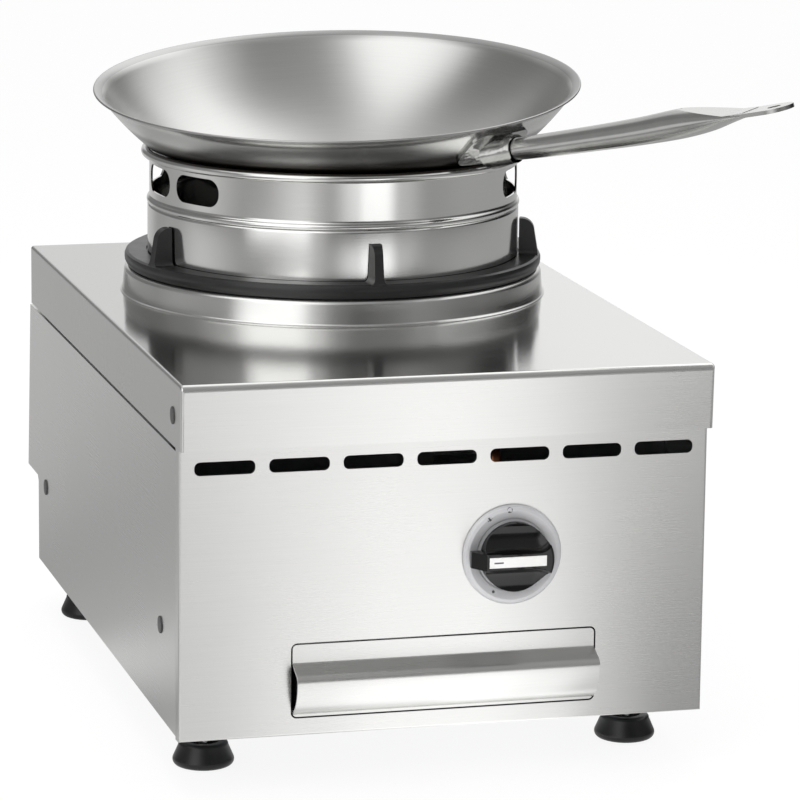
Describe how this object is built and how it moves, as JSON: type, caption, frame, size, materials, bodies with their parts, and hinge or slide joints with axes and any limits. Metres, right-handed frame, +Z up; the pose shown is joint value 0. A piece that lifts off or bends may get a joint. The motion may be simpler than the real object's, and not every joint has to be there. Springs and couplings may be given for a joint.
{
  "type": "wok range",
  "caption": "Table-top gas wok range: steel casing on levelling feet, burner under a slotted ring that seats a long-handled wok, with a control knob and a pull-out drip tray.",
  "frame": {"origin": "on the floor plane under the middle of the bounding box of the whole object, wok and handle included", "axes": "+X to the right of the cook, +Y from the front panel to the rear, +Z up"},
  "size_m": [0.4554, 0.6362, 0.4976],
  "materials": {
    "casing_steel": "brushed stainless sheet",
    "spun_steel": "spun and fine-turned stainless",
    "polished_steel": "bright polished stainless",
    "wok_steel": "satin inside, polished outside",
    "zinc_steel": "zinc-plated sheet",
    "tray_steel": "drawn stainless",
    "dark_cap": "dark moulded cap",
    "cast_iron": "black enamelled casting",
    "brass": "machined",
    "copper_tube": "drawn copper",
    "steel_tube": "drawn steel tube",
    "bright_steel": "bright turned steel",
    "ceramic": "glazed ceramic",
    "black_lead": "silicone sleeve",
    "black_box": "moulded housing",
    "knob_black": "glossy moulding",
    "knob_pale": "pale inlay",
    "dial_grey": "satin ring",
    "foot_black": "moulded foot"
  },
  "bodies": {
    "casing": {"worktop": "casing_steel", "front_panel": "casing_steel", "side_panel_left": "casing_steel", "side_panel_right": "casing_steel", "rear_panel": "casing_steel", "burner_collar": "spun_steel", "spill_bowl": "spun_steel", "base_plate": "zinc_steel", "foot_bosses": "zinc_steel", "worktop_rails": "zinc_steel", "heat_shield": "zinc_steel", "burner_bridge": "zinc_steel", "tray_runner_left": "zinc_steel", "tray_runner_right": "zinc_steel", "pilot_bracket": "zinc_steel", "valve_studs": "zinc_steel", "inlet_locknut": "zinc_steel", "rear_screws": "zinc_steel", "side_screws": "dark_cap", "burner_body": "cast_iron", "burner_cap": "cast_iron", "injector_holder": "brass", "injector": "brass", "valve_body": "brass", "union_nuts": "brass", "gas_inlet": "brass", "pilot_burner": "brass", "pilot_tube": "copper_tube", "thermocouple_lead": "copper_tube", "burner_pipe": "copper_tube", "supply_pipe": "steel_tube", "mixing_tube": "steel_tube", "igniter_wire": "bright_steel", "thermocouple": "bright_steel", "magnet_unit": "bright_steel", "igniter": "ceramic", "ignition_lead": "black_lead", "piezo": "black_box", "dial": "dial_grey"},
    "pan_support": {"support_ring": "cast_iron"},
    "wok_ring": {"wok_ring": "polished_steel"},
    "wok": {"wok_bowl": "wok_steel", "handle_bracket": "polished_steel", "wok_handle": "polished_steel"},
    "drip_tray": {"drip_tray": "tray_steel", "tray_front": "casing_steel", "tray_rivets": "zinc_steel"},
    "valve_plug": {"valve_plug": "brass"},
    "knob": {"knob": "knob_black", "knob_insert": "knob_pale", "spindle": "bright_steel"},
    "air_shutter": {"air_shutter": "zinc_steel"},
    "foot_1": {"foot_pad_1": "foot_black", "foot_stud_1": "bright_steel"},
    "foot_2": {"foot_pad_2": "foot_black", "foot_stud_2": "bright_steel"},
    "foot_3": {"foot_pad_3": "foot_black", "foot_stud_3": "bright_steel"},
    "foot_4": {"foot_pad_4": "foot_black", "foot_stud_4": "bright_steel"}
  },
  "joints": [
    {"name": "support_lift", "type": "slide", "parent": "casing", "child": "pan_support", "axis": [0, 0, 1], "range_m": [0, 0.1]},
    {"name": "ring_lift", "type": "slide", "parent": "pan_support", "child": "wok_ring", "axis": [0, 0, 1], "range_m": [0, 0.12]},
    {"name": "wok_lift", "type": "slide", "parent": "wok_ring", "child": "wok", "axis": [0, 0, 1], "range_m": [0, 0.15]},
    {"name": "tray_slide", "type": "slide", "parent": "casing", "child": "drip_tray", "axis": [0, -1, 0], "range_m": [0, 0.4]},
    {"name": "valve_turn", "type": "hinge", "parent": "casing", "child": "valve_plug", "pos_m": [0.02326, -0.25406, 0.1674], "axis": [0, -1, 0], "range_deg": [-90, 60]},
    {"name": "knob_push", "type": "slide", "parent": "valve_plug", "child": "knob", "axis": [0, 1, 0], "range_m": [0, 0.0038], "stiffness_N_per_m": 800, "springref_m": -0.004},
    {"name": "shutter_slide", "type": "slide", "parent": "casing", "child": "air_shutter", "axis": [0, 1, 0], "range_m": [0, 0.008]},
    {"name": "foot_1_screw", "type": "slide", "parent": "casing", "child": "foot_1", "axis": [0, 0, -1], "range_m": [-0.01, 0.01]},
    {"name": "foot_2_screw", "type": "slide", "parent": "casing", "child": "foot_2", "axis": [0, 0, -1], "range_m": [-0.01, 0.01]},
    {"name": "foot_3_screw", "type": "slide", "parent": "casing", "child": "foot_3", "axis": [0, 0, -1], "range_m": [-0.01, 0.01]},
    {"name": "foot_4_screw", "type": "slide", "parent": "casing", "child": "foot_4", "axis": [0, 0, -1], "range_m": [-0.01, 0.01]}
  ]
}
